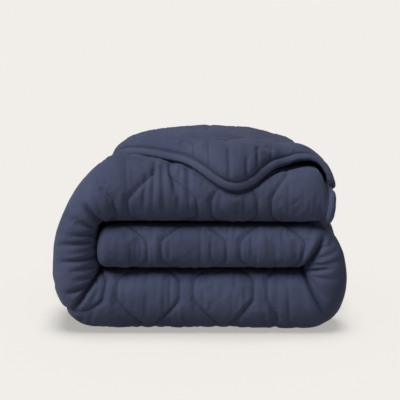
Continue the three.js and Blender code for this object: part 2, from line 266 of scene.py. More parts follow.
def place_in_space(S, pair, face, moved=0):
    """Closes a pair of points towards the strip's ends, and sets one face's in space."""
    d1, n1, d2, n2 = pair
    if face == 2:
        d1, n1, d2, n2 = d2, n2, d1, n1
    keep = np.maximum(0, 1 - EDGE_WALL / np.maximum(np.hypot(d2 - d1, n2 - n1), 1e-6))
    share = END_SHARE if face == 1 else 1 - END_SHARE
    at_end = (1 - quarter((LENGTH - S["s"]) / END_TAPER)) * share
    at_tuck = (1 - quarter(S["s"] / TUCK_TAPER)) * TUCK_SHARE
    w = keep * (at_end + at_tuck)
    d, n = d1 + (d2 - d1) * w, n1 + (n2 - n1) * w
    k = n / S["high"]
    whole = S["high"] + (1 - S["nest"]) * (S["cover"] + PLY_GAP)
    near = np.clip(1 - (LENGTH - S["s"]) / END_TAPER, 0, 1)
    bow = END_BOW * near**2 * (2 * (n / whole - BOW_ABOUT))**2
    towards_end = smoothstep(S["s"], LENGTH - LEAN_RUN, LENGTH)
    lean = END_LEAN * towards_end * smoothstep(d, LEAN_FROM, LEAN_TO)
    x = S["ix"] + (S["ox"] - S["ix"]) * k - bow - lean
    z = np.maximum(0, S["iz"] + (S["oz"] - S["iz"]) * k)
    return np.stack([x, FRONT_Y + d, z], axis=-1) + CENTRED + moved


print("ends close over (mm):", TUCK_TAPER, "and", END_TAPER)

# %% The corner of the flap
CORNER_ROUND = 40  # radius of the duvet's own corner
HANG, HANG_RUN = np.array((19, 0, -12)), 80  # it hangs out past the end, over this run
HANG_FROM, HANG_TO = 0.6, 0.95  # and between these shares of the flap


def corner_shares(s, f):
    """How near a place on the flap is to its end and to its edge, within the corner."""
    return (np.clip(1 - (LENGTH - s) / CORNER_ROUND, 0, 1),
            np.clip(1 - FLAP_REACH * (1 - f) / CORNER_ROUND, 0, 1))


def round_corner(s, f):
    """Draws the square corner of the flat flap in to a quarter circle."""
    p, q = corner_shares(s, f)
    return (s - CORNER_ROUND * p * (1 - np.sqrt(1 - q * q / 2)),
            f - CORNER_ROUND / FLAP_REACH * q * (1 - np.sqrt(1 - p * p / 2)))


def hang_past(s, f):
    share = smoothstep(s, LENGTH - HANG_RUN, LENGTH) * smoothstep(f, HANG_FROM, HANG_TO)
    return share[:, None] * HANG


print("corner radius (mm):", CORNER_ROUND)

# %% Folding flat measures into space
TUCK_ROLL, TUCK_ROLL_TO = np.array((-17, 0, 0)), 75  # the tucked end swells past its binding
ROLL_BLUNT = 0.4  # below 1 the swelling is blunter than an arc


def fold(face, s, v):
    """Places in space, in millimetres, of flat points on one face."""
    out = np.zeros((len(s), 3))
    for stretch, lo, hi in FLAT[face]:
        m = (v >= lo) & (v <= hi)
        s_here, f = s[m], share_of(face, v[m], stretch)
        moved = 0
        if stretch is front:
            roll = (1 - smoothstep(s_here, 0, TUCK_ROLL_TO)) * np.sin(math.pi * f)**ROLL_BLUNT
            moved = roll[:, None] * TUCK_ROLL
        if stretch is flap:
            s_here, f = round_corner(s_here, f)
            moved = hang_past(s_here, f)
        S = section(s_here)
        out[m] = place_in_space(S, stretch(S, f), face, moved)
    return out


corner_at = fold(2, np.array([LENGTH]), np.array([FLAP_TO]))[0]
print("corner of the flap (mm):", corner_at.round(1).tolist())

# %% [markdown]
# ## Quilting
# Pairs of stitch lines run across the strip. They close up to a narrow channel and open out again
# round a six-sided cell, over and over. Lines drawn in the flat measures stay on the cloth however
# it is folded, so the pattern is worked out there.

# %% Stitch lines in the flat
FRONT_CHANNELS = np.array((109, 282, 452, 580, 708, 871, 1042, 1215, 1387, 1570, 1701), float)
FLAP_CHANNELS = np.arange(134, LENGTH, 238.0)
QUILT = {  # half a channel's width and straight length, a slope's run, and the channel's middle
    1: dict(channels=FRONT_CHANNELS, half=15, straight=24, slope=60, middle=73),
    2: dict(channels=FLAP_CHANNELS, half=16, straight=34, slope=98, middle=45),
}
ROUNDED = 0.1  # how far the lines' corners are rounded off
HIDDEN_CHANNELS = {1: (580, 1215), 2: ()}  # lost in the creases of the two bends
PLAIN_BENDS = ((478, 668), (1172, 1345))  # no line crosses the front of a bend
NO_SEAM = 40.0  # marks cloth that no stitch line comes near


def sewn_channels(face):
    """Which channels have stitch lines that can be seen."""
    return ~np.isin(QUILT[face]["channels"], HIDDEN_CHANNELS[face])


def fold_arc(S):
    """Length of cloth round a front fold."""
    return math.pi * np.sqrt((S["round"]**2 + (S["high"] / 2)**2) / 2)


def pattern_measure(face, s, v):
    """Distance across the strip as the quilting counts it."""
    S = section(s)
    if face == 1:
        arc, f = fold_arc(S), share_of(1, v, front)
        behind = (D_FOLD - S["round"]) * share_of(1, v, over)
        return np.where(f < 1, arc * f, arc + behind) - QUILT[1]["middle"]
    f = share_of(2, v, flap)
    behind = np.where(f >= 0, S["round"] + behind_edge(S, f), D_FOLD - f * FLAP_REACH)
    return behind - QUILT[2]["middle"]


def lines_at(face, w):
    """Places along s of every stitch line, at distance w across the pattern."""
    q = QUILT[face]
    period = 2 * (2 * q["straight"] + q["slope"])
    u = np.abs((w + period / 2) % period - period / 2)
    turn = (u - q["straight"]) / q["slope"]
    apart = ((np.hypot(turn, ROUNDED) - np.hypot(turn - 1, ROUNDED) + 1) / 2)[:, None]
    c, mid = q["channels"], (q["channels"][1:] + q["channels"][:-1]) / 2
    before = np.concatenate([[2 * c[0] - mid[0]], mid])
    after = np.concatenate([mid, [2 * c[-1] - mid[-1]]])
    left = (c - q["half"]) * (1 - apart) + (before + q["half"]) * apart
    right = (c + q["half"]) * (1 - apart) + (after - q["half"]) * apart
    both = np.stack([left, right], axis=-1)
    return both[:, sewn_channels(face)].reshape(len(w), -1)


def on_bend(face, s):
    if face == 2:
        return np.zeros(len(s), bool)
    return np.any([(s > a) & (s < b) for a, b in PLAIN_BENDS], axis=0)


def stitch_distance(face, s, v):
    """How far each flat point is from the nearest stitch line."""
    w = pattern_measure(face, s, v)
    here = lines_at(face, w)
    lean = (lines_at(face, w + 1) - lines_at(face, w - 1)) / 2
    near = np.min(np.abs(s[:, None] - here) / np.sqrt(1 + lean**2), axis=1)
    return np.where(on_bend(face, s), NO_SEAM, near)


print("channels sewn on the two faces:", [int(sewn_channels(face).sum()) for face in QUILT])

# %% [markdown]
# ## What shows
# The skin is fine where it is seen, coarse inside the folds. The outer side of a layer is open at
# the two bends and on top, and pressed flat where layers lie on each other or on the floor.

# %% Open and hidden cloth
RIGHT_BEND = (385, 425, 735, 775)  # the outer side opens and closes here, along s
LEFT_BEND = (1075, 1125)  # and opens again, up to the top layer's end
FOLD_LOW, FOLD_HIGH = (0.02, 0.24), (0.02, 0.2)  # shares of a front fold that lie in the creases
UNDER_FLAP = (-40, -12)  # from the flap's edge: cloth behind this is pressed
FLAP_EDGE = (0, 0.12)  # share of the flap that its binding holds down


def band(x, a, b, c, d):
    """1 from b to c, falling to 0 at a and at d."""
    return smoothstep(x, a, b) * (1 - smoothstep(x, c, d))


def open_side(s):
    return np.maximum(band(s, *RIGHT_BEND), smoothstep(s, *LEFT_BEND))


def behind_shoulder(S, v):
    """Distance behind the front shoulder on face 1, negative on the front fold."""
    f = share_of(1, v, front)
    return np.where(f < 1, (f - 1) * fold_arc(S), (D_FOLD - S["round"]) * share_of(1, v, over))


def exposure(face, s, v):
    """1 where cloth is free to swell, 0 where it is pressed or hidden."""
    S = section(s)
    opened = open_side(s)
    if face == 1:
        f = share_of(1, v, front)
        low, high = smoothstep(f, *FOLD_LOW), smoothstep(1 - f, *FOLD_HIGH)
        pressed = [S["edge"] + ahead for ahead in UNDER_FLAP]
        clear = 1 - smoothstep(behind_shoulder(S, v), *pressed)
        out = np.where(f < 1, low * (high + (1 - high) * opened), opened) * clear
        return np.where(v > OVER_TO, 0, out)
    f = share_of(2, v, back)
    rise = np.sqrt(np.clip(np.cos((f - 0.5) * math.pi), 0, 1))
    on_back = np.where(f < 0.5, rise, rise + (1 - rise) * opened)
    on_flap = opened * smoothstep(1 - share_of(2, v, flap), *FLAP_EDGE)
    return np.where(f < 0, 0, np.where(f < 1, on_back, on_flap))


print("open share of the strip's outer side:", round(float(open_side(RUN).mean()), 2))

# %% How fine the mesh has to be
COARSEST = 3
TOP_FROM = 1230  # the top layer's folds are seen close to
OPEN_FROM, PAST_EDGE = 0.02, 12  # what counts as open, and as ahead of the flap
INNER_BORDER, OUTER_BORDER = -440, 770  # in v, the bound borders of face 1
ROUND_FRONT, FINE_FRONT = (-125, 100), (-97, 97)  # and its front fold
ROUND_BACK, FINE_BACK, FINE_FLAP = 720, 740, 870  # on face 2, the back fold and the flap


def fineness(face, s, v):
    """0 where the mesh is finest, 3 where it is coarsest."""
    seen = open_side(s) > OPEN_FROM
    level = np.full(len(s), COARSEST)
    if face == 1:
        S = section(s)
        ahead = behind_shoulder(S, v) < S["edge"] + PAST_EDGE
        level[(v < INNER_BORDER) | (v > OUTER_BORDER)] = 2
        for step, (lo, hi) in ((1, ROUND_FRONT), (0, FINE_FRONT)):
            level[(v > lo) & (v < hi)] = step
        shown = seen & ahead & (v >= limits(1, over)[0]) & (v < OVER_TO)
        level[shown] = np.where(s[shown] > TOP_FROM, 0, 1)
    else:
        level[v > ROUND_BACK] = 2
        level[(v > FINE_BACK) & ((v < FLAP_FROM) | seen)] = 1
        level[(v > FINE_FLAP) & (s > TOP_FROM)] = 0
    return level


print("levels of fineness:", COARSEST + 1)

# %% [markdown]
# ## Cutting the two faces
# A grid would leave ragged stitch lines, so each face is triangulated in the flat instead, with the
# stitch lines and the border as fixed edges and loose points between them. That also keeps the
# folds of the cloth from following a grid.

# %% Points of one face
SPACING = 4.0  # between points where the mesh is finest
END_SPACING = 1.5  # times that, across the two ends
ROW_STEP, JITTER = 0.87, 0.2  # shares of the spacing: row to row, and at random
KEEP_OFF = 0.6  # and clear of borders and stitch lines
SEWN_SPAN = {1: (-120, 340), 2: (BACK_FROM, FLAP_TO - SPACING)}  # stitch lines are drawn here, in v
OFF_TUCK, OFF_END = 20, 30  # and this far from the strip's two ends
rng = np.random.default_rng(7)


def border_of(face):
    v0, v1 = FLAT[face][0][1], FLAT[face][-1][2]
    along = np.linspace(0, LENGTH, int(LENGTH / SPACING) + 1)
    across = np.linspace(v0, v1, int((v1 - v0) / SPACING / END_SPACING) + 1)[1:-1]
    lines = {"inner": (along, v0), "end": (LENGTH, across),
             "outer": (along, v1), "tucked": (0.0, across)}
    return {side: np.stack(np.broadcast_arrays(s, v), 1) for side, (s, v) in lines.items()}


def sewn_lines(face):
    """The visible runs of the stitch lines, as lists of flat points."""
    v = np.arange(*SEWN_SPAN[face], SPACING)
    runs = []
    for k, channel in enumerate(np.repeat(QUILT[face]["channels"][sewn_channels(face)], 2)):
        s = np.full(len(v), channel)
        for _ in range(4):  # the measure shifts along s, so it is closed in on
            s = lines_at(face, pattern_measure(face, np.clip(s, 0, LENGTH), v))[:, k]
        shown = (s > OFF_TUCK) & (s < LENGTH - OFF_END) & ~on_bend(face, s)
        shown[shown] = fineness(face, s[shown], v[shown]) < 2
        for part in np.split(np.arange(len(v)), np.flatnonzero(np.diff(shown.astype(int))) + 1):
            if shown[part[0]] and len(part) > 2:
                runs.append(np.stack([s[part], v[part]], 1))
    return runs


def loose_points(face):
    v0, v1 = FLAT[face][0][1], FLAT[face][-1][2]
    out = []
    for level in range(COARSEST + 1):
        h = SPACING * 2**level
        i, j = np.meshgrid(np.arange(1, LENGTH / h), np.arange(1, (v1 - v0) / h / ROW_STEP))
        p = np.stack([(i + 0.5 * (j % 2)).ravel() * h, v0 + j.ravel() * h * ROW_STEP], 1)
        p += rng.uniform(-JITTER, JITTER, p.shape) * h
        low, high = np.array((0, v0)) + KEEP_OFF * h, np.array((LENGTH, v1)) - KEEP_OFF * h
        p = p[np.all((p > low) & (p < high), axis=1)]
        p = p[fineness(face, *p.T) == level]
        if level < 2:
            p = p[stitch_distance(face, *p.T) > KEEP_OFF * SPACING]
        out.append(p)
    return np.concatenate(out)


print("spacing at each level (mm):", [SPACING * 2**level for level in range(COARSEST + 1)])

# %% Triangulate both faces in the flat
def cut_face(face):
    border = border_of(face)
    points, edges, sewn = list(border.values()), [], []
    count = sum(map(len, points))
    for run in sewn_lines(face):
        edges += [(count + k, count + k + 1) for k in range(len(run) - 1)]
        sewn += range(count, count + len(run))
        points.append(run)
        count += len(run)
    points.append(loose_points(face))
    flat = np.concatenate(points)
    made = geometry.delaunay_2d_cdt([Vector(p) for p in flat], edges, [], 0, 1e-4)
    came_from = {old: new for new, olds in enumerate(made[3]) for old in olds}
    marks, start = {}, 0
    for side, line in border.items():
        marks[side] = np.array([came_from[start + k] for k in range(len(line))])
        start += len(line)
    return dict(flat=np.array([tuple(p) for p in made[0]]), triangles=np.array(made[2]),
                border=marks, sewn=np.array(sorted({came_from[k] for k in sewn})))


faces = {face: cut_face(face) for face in (1, 2)}
for face, panel in faces.items():
    print("face", face, "points", len(panel["flat"]), "triangles", len(panel["triangles"]))

# %% [markdown]
# ## Sewing the skin together
# The two faces meet along the bound edge. There a narrow wall joins them, point to point along the
# two long sides and step by step across the two ends.

# %% One closed skin
base = {face: fold(face, *panel["flat"].T) for face, panel in faces.items()}
shift = len(base[1])
skin = np.concatenate([base[1], base[2]])
triangles = [faces[1]["triangles"], faces[2]["triangles"][:, ::-1] + shift]
walls = []
for side in ("inner", "outer"):
    a, b = faces[1]["border"][side], faces[2]["border"][side] + shift
    for k in range(len(a) - 1):
        i, j = (k, k + 1) if side == "outer" else (k + 1, k)
        walls += [(a[i], a[j], b[j]), (a[i], b[j], b[i])]


def end_points(face, side):
    """Points of one face across an end of the strip, from border to border."""
    marks = faces[face]["border"]
    at = 0 if side == "tucked" else -1
    line = np.concatenate([[marks["inner"][at]], marks[side], [marks["outer"][at]]])
    return line + (shift if face == 2 else 0)


for side in ("tucked", "end"):
    a, b = end_points(1, side), end_points(2, side)
    i = j = 0
    while i < len(a) - 1 or j < len(b) - 1:
        first = j == len(b) - 1 or (i < len(a) - 1 and np.linalg.norm(skin[a[i + 1]] - skin[b[j]])
                                    < np.linalg.norm(skin[a[i]] - skin[b[j + 1]]))
        t = (a[i], a[i + 1] if first else b[j + 1], b[j])
        walls.append(t if side == "tucked" else t[::-1])
        i, j = (i + 1, j) if first else (i, j + 1)
triangles = np.concatenate(triangles + [np.array(walls)])
face_of = np.repeat([1, 2], [len(base[1]), len(base[2])])
flat = np.concatenate([faces[1]["flat"], faces[2]["flat"]])
s_all, v_all = flat.T
corners = skin[triangles]
volume = np.einsum("ij,ij->", corners[:, 0], np.cross(corners[:, 1], corners[:, 2])) / 6 * 1e-9
print("skin:", len(skin), "points", len(triangles), "triangles", round(volume, 4), "m3")


# %% Directions out of the skin
def outward(points):
    p = points[triangles]
    n = np.cross(p[:, 1] - p[:, 0], p[:, 2] - p[:, 0])
    total = np.zeros_like(points)
    for k in range(3):
        np.add.at(total, triangles[:, k], n)
    return total / np.maximum(np.linalg.norm(total, axis=1, keepdims=True), 1e-9)


END_HELD = 45  # cloth is less and less free this near an end
normals = outward(skin)
free = np.zeros(len(skin))
seam = np.zeros(len(skin))
for face in (1, 2):
    m = face_of == face
    free[m] = exposure(face, *flat[m].T)
    seam[m] = stitch_distance(face, *flat[m].T)
free *= np.clip(np.minimum(s_all, LENGTH - s_all) / END_HELD, 0, 1)
print("open to swell:", round(float(free.mean()), 3))

# %% [markdown]
# ## Puffs and folds
# A line of stitches pulls the two faces together, and the filling stands up between the lines. That
# form is set first, then the folds that show in the picture, each a soft trough with its own place,
# depth and width. Shallow streaks run across the strip everywhere, because the cloth is gathered
# along its length.

# %% Puffs between the stitch lines
SEAM_LOW, PUFF_HIGH, PUFF_REACH = -3.2, 4.0, 13.0  # pulled in at a line, risen this far beside it
CELL_HIGH, CELL_REACH = 2.2, 55.0  # and a little more in the middle of a wide cell
PRESSED, OVER_BACK = 0.75, (800, 860, 960, 1060)  # the top lies smooth where it turns to the back

puff = (SEAM_LOW + PUFF_HIGH * (1 - (1 - np.clip(seam / PUFF_REACH, 0, 1))**2)
        + CELL_HIGH * smoothstep(seam, 0, CELL_REACH))
free *= 1 - PRESSED * (band(v_all, *OVER_BACK) * (face_of == 2))
relief = puff * free
print("puffs (mm):", round(float(relief.min()), 1), "to", round(float(relief.max()), 1))

# %% Streaks along the gathers
STREAK, STREAK_PITCH, STREAK_RUN = 2.2, 15.0, 110.0  # height, and length along s and v
PATCH_PITCH, PATCH_RUN = 90, 120  # they are stronger in some patches
PATCH_MEAN, PATCH_SPREAD = 0.55, 0.45
OFF_STITCHES = 14  # and fade out this near a stitch line
NOISE_CELLS = 512


def value_noise(x, y, seed):
    """Smooth noise from -1 to 1, one cell to each unit."""
    grid = np.random.default_rng(seed).uniform(-1, 1, (NOISE_CELLS, NOISE_CELLS))
    i, j = np.floor(x).astype(int), np.floor(y).astype(int)
    u, w = smoothstep(x - i, 0, 1), smoothstep(y - j, 0, 1)
    i, j, i1, j1 = (k % NOISE_CELLS for k in (i, j, i + 1, j + 1))
    return ((grid[i, j] * (1 - u) + grid[i1, j] * u) * (1 - w)
            + (grid[i, j1] * (1 - u) + grid[i1, j1] * u) * w)


streaks = (value_noise(s_all / STREAK_PITCH, v_all / STREAK_RUN, 1)
           + 0.5 * value_noise(s_all / (STREAK_PITCH / 2), v_all / (STREAK_RUN / 2), 2))
patches = PATCH_MEAN + PATCH_SPREAD * value_noise(s_all / PATCH_PITCH, v_all / PATCH_RUN, 3)
relief += STREAK * streaks * patches * free * smoothstep(seam, 0, OFF_STITCHES)
print("strongest streak (mm):", round(float(STREAK * np.abs(streaks * patches).max()), 1))

# %% Folds of the front, as the picture shows them
# Each runs from its deep end to where it fades: (x0, z0, x1, z1, depth, width).
FOLDS = (
    # left bend, from the top corner down to the lower one
    (-214, 248, -250, 296, 17, 6), (-236, 240, -266, 256, 6, 8), (-232, 224, -284, 222, 7, 6),
    (-240, 206, -302, 199, 7, 6), (-240, 186, -290, 178, 4, 6), (-228, 172, -302, 160, 10, 6),
    (-234, 150, -286, 140, 4, 7), (-236, 126, -268, 121, 6, 6), (-228, 114, -294, 88, 13, 6),
    (-220, 135, -278, 52, 26, 5.5),
    # beside the tucked end of the middle layer, up and down
    (-222, 190, -222, 244, 9, 8), (-222, 190, -222, 136, 9, 8),
    # right bend, out of the corner between the layers
    (230, 144, 280, 221, 21, 6), (230, 133, 282, 38, 22, 5.5), (244, 122, 276, 75, 7, 6),
    (244, 164, 280, 178, 6, 6), (262, 170, 304, 187, 5, 6), (244, 153, 274, 160, 7, 6),
    (256, 154, 306, 164, 6, 6), (236, 139, 292, 149, 11, 6), (258, 128, 310, 124, 4, 8),
)
FADE = 0.85  # share of a fold's depth lost at its far end
FOLDS_TO_Y, FOLDS_TO_V = -130, 300  # only the cloth ahead of these is folded


def trough(points, start, stop, width, fade=0.0):
    """1 on a line from start to stop, soft beside it, fading by that share on the way."""
    a, b = np.array(start, float), np.array(stop, float)
    along = np.clip((points - a) @ (b - a) / ((b - a) @ (b - a)), 0, 1)
    distance = np.linalg.norm(points - a - along[:, None] * (b - a), axis=1)
    return np.exp(-(distance / width)**2) * (1 - fade * along**3)


on_front = (face_of == 1) & (skin[:, 1] < FOLDS_TO_Y) & (v_all < FOLDS_TO_V)
seen_flat = (skin - CENTRED)[on_front][:, [0, 2]]
pushed = np.zeros(len(skin))
for x0, z0, x1, z1, depth, width in FOLDS:
    sunk = depth * trough(seen_flat, (x0, z0), (x1, z1), width, FADE)
    pushed[on_front] = np.maximum(pushed[on_front], sunk)
print("folds:", len(FOLDS), "deepest (mm):", round(float(pushed.max()), 1))

# %% Tucks in the flap above its binding
# Each has its place in x, where it starts and stops behind the edge, its depth and its width.
TUCKS = ((65, 6, 42, 5, 4), (103, 4, 22, 4, 3.5), (127, 4, 30, 4.5, 3.5), (-38, 4, 30, 3, 5),
         (160, 4, 22, 3, 4))
TUCKS_FROM = 1330  # along s, past the left bend
on_flap = (face_of == 2) & (v_all > FLAP_FROM) & (s_all > TUCKS_FROM)
flap_flat = np.stack([(skin - CENTRED)[on_flap][:, 0], FLAP_TO - v_all[on_flap]], 1)
for x, near, far, depth, width in TUCKS:
    relief[on_flap] -= depth * trough(flap_flat, (x, near), (x, far), width)
print("tucks:", len(TUCKS))

# %% Folds that hang from under the fall of the flap, as in FOLDS
HANGING = ((-114, 352, -121, 284, 3, 6), (-97, 362, -101, 276, 5, 6), (-80, 368, -76, 280, 6, 6),
           (-60, 372, -46, 306, 8, 7), (-44, 360, -46, 282, 5, 6), (-24, 366, -20, 300, 5, 7))
hung = np.zeros(on_front.sum())
for x0, z0, x1, z1, depth, width in HANGING:
    hung = np.maximum(hung, depth * trough(seen_flat, (x0, z0), (x1, z1), width, FADE))
relief[on_front] -= hung
print("hanging folds:", len(HANGING))

# %% The groove that the flap's edge presses into the layer below
GROOVE, GROOVE_AT, GROOVE_WIDE = 7.0, 15.0, 8.0  # depth, place ahead of the edge, width
below = (face_of == 1) & (v_all > FRONT_FROM) & (v_all < OVER_TO) & (s_all > TOP_FROM)
S = section(s_all[below])
ahead = S["edge"] - behind_shoulder(S, v_all[below])
relief[below] -= GROOVE * (1 - S["nest"]) * np.exp(-((ahead - GROOVE_AT) / GROOVE_WIDE)**2)
print("groove (mm):", GROOVE)

# %% The shaped skin
INTO_STACK = np.array((0, 1, 0))
FLOOR_CLEAR = 0.3  # the underside stays this far off the floor
shaped = skin + normals * relief[:, None] + pushed[:, None] * INTO_STACK
shaped[:, 2] = np.maximum(shaped[:, 2], FLOOR_CLEAR)
print("relief (mm):", round(float(relief.min()), 1), "to", round(float(relief.max()), 1))

# %% [markdown]
# ## The skin as a mesh
# The points become a mesh with its flat measures as UVs, so that a weave can follow the cloth, and
# the distance to the nearest stitch line as an attribute, where the finish paints shade into the
# lines.

# %% Mesh
mesh = bpy.data.meshes.new("quilted_cloth")
mesh.from_pydata((shaped * MM).tolist(), [], triangles.tolist())
mesh.update()
cloth = bpy.data.objects.new("quilted_cloth", mesh)
bpy.context.collection.objects.link(cloth)


def lay_flat(mesh, flat_points):
    """Stores flat measures as the UV map that the finishes read."""
    uv = mesh.uv_layers.new(name="flat")
    corner_points = np.zeros(len(mesh.loops), int)
    mesh.loops.foreach_get("vertex_index", corner_points)
    uv.data.foreach_set("uv", flat_points[corner_points].astype(np.float32).ravel())
    mesh.polygons.foreach_set("use_smooth", np.ones(len(mesh.polygons), bool))


lay_flat(mesh, flat * MM)
mark = mesh.attributes.new("seam", "FLOAT", "POINT")
# Distance to the binding's seam, so the finish paints shade along it as along the stitch lines.
to_binding = np.where(face_of == 2, FLAP_TO - v_all, NO_SEAM)
to_stitches = np.minimum(np.where(free > 0, seam, NO_SEAM), to_binding)
mark.data.foreach_set("value", to_stitches.astype(np.float32))
print("mesh:", len(mesh.vertices), "points", len(mesh.polygons), "faces")

# %% [markdown]
# ## Letting the cloth settle
# Drawn folds look drawn. So the skin is handed to Blender's cloth solver for a short run with the
# stitch lines and all hidden cloth held still. The filling pushes it out a little, and each panel
# is cut a few hundredths too long for its place, so it buckles into small uneven folds of its own.

# %% Hold the stitch lines
HELD_STEPS = 20  # how finely the hold is graded
FREE_ENOUGH = 0.5  # cloth this open isn't held at all
loose = smoothstep(free, 0, FREE_ENOUGH)
loose[np.concatenate([faces[1]["sewn"], faces[2]["sewn"] + shift])] = 0
held = cloth.vertex_groups.new(name="held")
step_of = np.round((1 - loose) * HELD_STEPS).astype(int)
for step in range(1, HELD_STEPS + 1):
    held.add(np.flatnonzero(step_of == step).tolist(), step / HELD_STEPS, "REPLACE")
print("held points:", int((step_of == HELD_STEPS).sum()), "of", len(step_of))

# %% Swell and buckle
SETTLE_FRAMES, MOST_MOVED = 20, 8.0  # length of the run, and no point moves further
SETTLE = dict(quality=5, mass=0.1, tension_stiffness=15, compression_stiffness=15,
              shear_stiffness=5, bending_stiffness=0.5, air_damping=2, use_pressure=True,
              uniform_pressure_force=3, shrink_min=-0.02, vertex_group_mass="held")
bpy.ops.object.select_all(action="DESELECT")
bpy.context.view_layer.objects.active = cloth
solver = cloth.modifiers.new("settle", "CLOTH")
for name, value in SETTLE.items():
    setattr(solver.settings, name, value)
solver.settings.effector_weights.gravity = 0
solver.collision_settings.use_collision = False
solver.collision_settings.use_self_collision = False
solver.point_cache.frame_end = SETTLE_FRAMES
for step in range(1, SETTLE_FRAMES + 1):
    bpy.context.scene.frame_set(step)
settled = cloth.evaluated_get(bpy.context.evaluated_depsgraph_get()).to_mesh()
moved = np.zeros(len(skin) * 3)
settled.vertices.foreach_get("co", moved)
moved = moved.reshape(-1, 3) / MM - shaped
cloth.modifiers.remove(solver)
far = np.linalg.norm(moved, axis=1)
print("moved (mm): mean", round(float(far.mean()), 2), "most", round(float(far.max()), 2))
moved *= (np.minimum(far, MOST_MOVED) / np.maximum(far, 1e-9))[:, None]
shaped = shaped + moved
shaped[:, 2] = np.maximum(shaped[:, 2], FLOOR_CLEAR)
mesh.vertices.foreach_set("co", (shaped * MM).astype(np.float32).ravel())
mesh.update()
bpy.context.scene.frame_set(1)

# %% [markdown]
# ## The bound edge
# A strip of the same cloth is folded over the raw edge and sewn down, right round the duvet. It
# shows as a soft flattened roll with a seam beside it. A bevelled curve would twist at the corners,
# so the roll is swept in code: each ring is set square to the edge, with its width out of the cloth
# and its height across the ply, and the tape puckers a little along its length.

# %% Line of the edge
EDGE_STEP = 4.0  # from ring to ring
INWARD = 5.0  # a place this far in tells which way is out
UNDER_RUN = limits(1, under)[1] - limits(1, under)[0]
END_RUNS = ((under, UNDER_RUN), (front, 170), (over, 356), (back, 90), (flap, FLAP_REACH))


def edge_walls(s, stretch, f):
    """The two sides of a ply at flat places, as points."""
    moved = 0
    if stretch is flap:
        s, f = round_corner(s, f)
        moved = hang_past(s, f)
    S = section(s)
    pair = stretch(S, f)
    return np.array([place_in_space(S, pair, face, moved) for face in (1, 2)])


def steps_for(length):
    return np.linspace(0, 1, int(length / EDGE_STEP) + 1)


long_way = steps_for(LENGTH) * LENGTH
across_end = [(stretch, f) for stretch, length in END_RUNS for f in steps_for(length)[1:]]


def stepped_in(s, stretch, f, by_s, by_f):
    """The same place a little way into the cloth; on the round corner, in from both edges."""
    if stretch is flap:
        p, q = corner_shares(s, f)
        by_s = np.maximum(by_s, INWARD * p * q)
        by_f = np.maximum(by_f, INWARD * p * q / FLAP_REACH)
    return edge_walls(s - by_s, stretch, f - by_f)


def long_side(s, stretch, f, by_f):
    """Points along the strip, at its edge and a little way in."""
    f = np.full(len(s), float(f))
    return edge_walls(s, stretch, f), stepped_in(s, stretch, f, 0, by_f)


def short_side(s, by_s, places):
    """The same across one of its ends."""
    found = []
    for stretch, share in places:
        at, f = np.array([s]), np.array([share])
        found.append((edge_walls(at, stretch, f), stepped_in(at, stretch, f, by_s, 0)))
    return [np.concatenate([pair[k] for pair in found], axis=1) for k in (0, 1)]


sides = [long_side(long_way, flap, 1, INWARD / FLAP_REACH),
         short_side(LENGTH, INWARD, across_end[::-1]),
         long_side(long_way[::-1], under, 0, -INWARD / UNDER_RUN),
         short_side(0.0, -INWARD, across_end)]
print("edge points:", [side[0].shape[1] for side in sides])


# %% Rings of the binding
TAPE_WIDE = 18.0  # across the roll, out of the cloth
CORNER = 6  # extra rings round each corner of the duvet
UP_EVEN, OUT_EVEN = 4, 2  # rings over which the directions are evened out


def unit(a):
    return a / np.maximum(np.linalg.norm(a, axis=1, keepdims=True), 1e-9)


def square_to(a, along):
    return unit(a - np.sum(a * along, axis=1, keepdims=True) * along)


middles, ups, outs = [], [], []
before = sides[0][0][1][0] - sides[0][0][0][0]  # up starts as the way from face 1 to face 2
for at_edge, further_in in sides:
    mid = at_edge.mean(axis=0)
    along = unit(np.gradient(mid, axis=0))
    out = square_to(mid - further_in.mean(axis=0), along)
    up = np.cross(out, along)
    up[1:] *= np.cumprod(np.sign(np.sum(up[1:] * up[:-1], axis=1)))[:, None]
    up *= np.sign(up[0] @ before)
    before = up[-1]
    middles.append(mid)
    ups.append(up)
    outs.append(out)
for k in range(4):
    turn = np.linspace(0, 1, CORNER + 2)[1:-1, None]
    after = (k + 1) % 4
    middles[k] = np.concatenate([middles[k], np.repeat(middles[k][-1:], CORNER, axis=0)])
    ups[k] = np.concatenate([ups[k], unit(ups[k][-1:] * (1 - turn) + ups[after][:1] * turn)])
    outs[k] = np.concatenate([outs[k], unit(outs[k][-1:] * (1 - turn) + outs[after][:1] * turn)])
middles, ups, outs = (np.concatenate(a) for a in (middles, ups, outs))
RINGS = len(middles)


def soften(a, reach):
    """A running mean round the closed edge."""
    weight = np.exp(-(np.arange(-3 * reach, 3 * reach + 1) / reach)**2)
    total = sum(w * np.roll(a, k, axis=0) for k, w in zip(range(-3 * reach, 3 * reach + 1), weight))
    return total / weight.sum()


ups, outs = unit(soften(ups, UP_EVEN)), unit(soften(outs, OUT_EVEN))
edge_run = run_along(middles + outs * TAPE_WIDE / 2)
print("binding length (m):", round(edge_run[-1] * MM, 3))

# %% The binding's mesh
SIDES = 16
TAPE_HIGH, TAPE_LAP = 14.5, 2.4  # height of the roll, and its lap on the cloth
FLATNESS = 0.8  # below 1 squares the roll off a little
FINE_PUCKER, FINE_PITCH = 0.35, 7
BROAD_PUCKER, BROAD_PITCH = 0.5, 38
PUCKER_UP = 0.8  # share of the puckers in the height


def squared(wave):
    return np.sign(wave) * np.abs(wave)**FLATNESS


